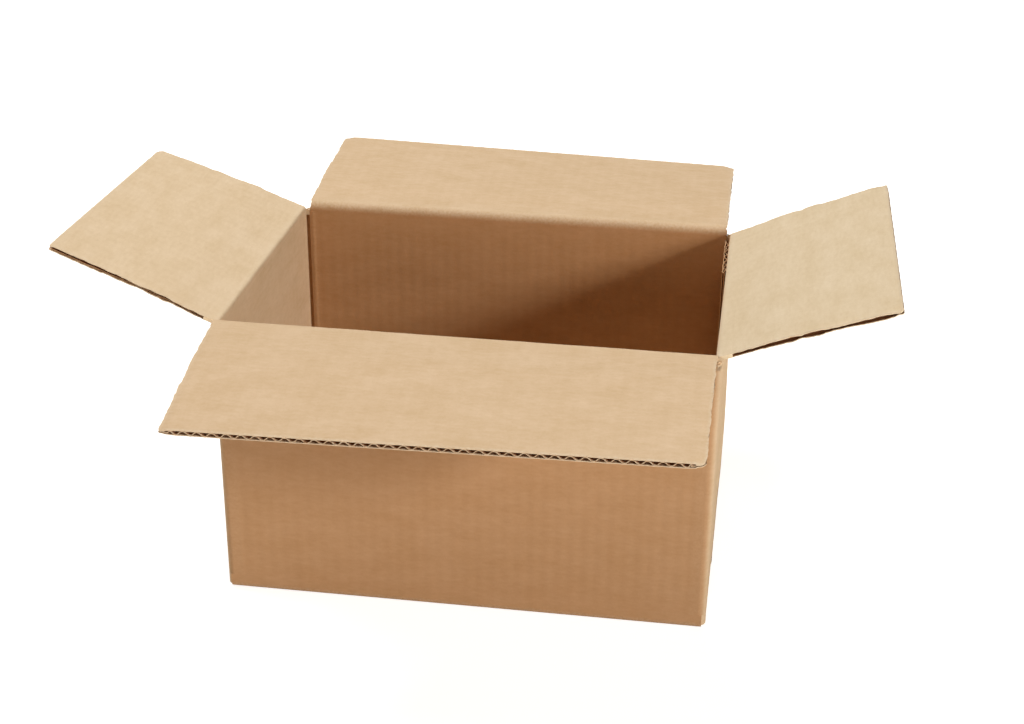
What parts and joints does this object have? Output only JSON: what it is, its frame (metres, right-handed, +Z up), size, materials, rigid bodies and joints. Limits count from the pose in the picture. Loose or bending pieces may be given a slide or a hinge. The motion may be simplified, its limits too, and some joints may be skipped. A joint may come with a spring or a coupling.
{
  "type": "cardboard shipping box",
  "caption": "Open corrugated cardboard box with its long and end flaps folded out from the rim, each turning on its crease, and tape over the seam of the base.",
  "frame": {"origin": "centre of the base, on the floor", "axes": "+X along the two long walls, +Y from the front long wall to the back one, +Z up"},
  "size_m": [0.3938, 0.3322, 0.1747],
  "materials": {
    "kraft_board": "matte",
    "kraft_liner": "matte",
    "packing_tape": "satin"
  },
  "bodies": {
    "box_body": {"box_body": "kraft_board", "bottom_tape": "packing_tape"},
    "front_flap": {"front_flap": "kraft_liner"},
    "back_flap": {"back_flap": "kraft_liner"},
    "left_flap": {"left_flap": "kraft_liner"},
    "right_flap": {"right_flap": "kraft_liner"}
  },
  "joints": [
    {"name": "front_crease", "type": "hinge", "parent": "box_body", "child": "front_flap", "pos_m": [0, -0.0836, 0.146], "axis": [1, 0, 0], "range_deg": [-191, 64]},
    {"name": "back_crease", "type": "hinge", "parent": "box_body", "child": "back_flap", "pos_m": [0, 0.0836, 0.146], "axis": [-1, 0, 0], "range_deg": [-176.7, 78.3]},
    {"name": "left_crease", "type": "hinge", "parent": "box_body", "child": "left_flap", "pos_m": [-0.1191, 0, 0.1427], "axis": [0, -1, 0], "range_deg": [-159.8, 95.2]},
    {"name": "right_crease", "type": "hinge", "parent": "box_body", "child": "right_flap", "pos_m": [0.1191, 0, 0.1427], "axis": [0, 1, 0], "range_deg": [-159.5, 95.5]}
  ]
}
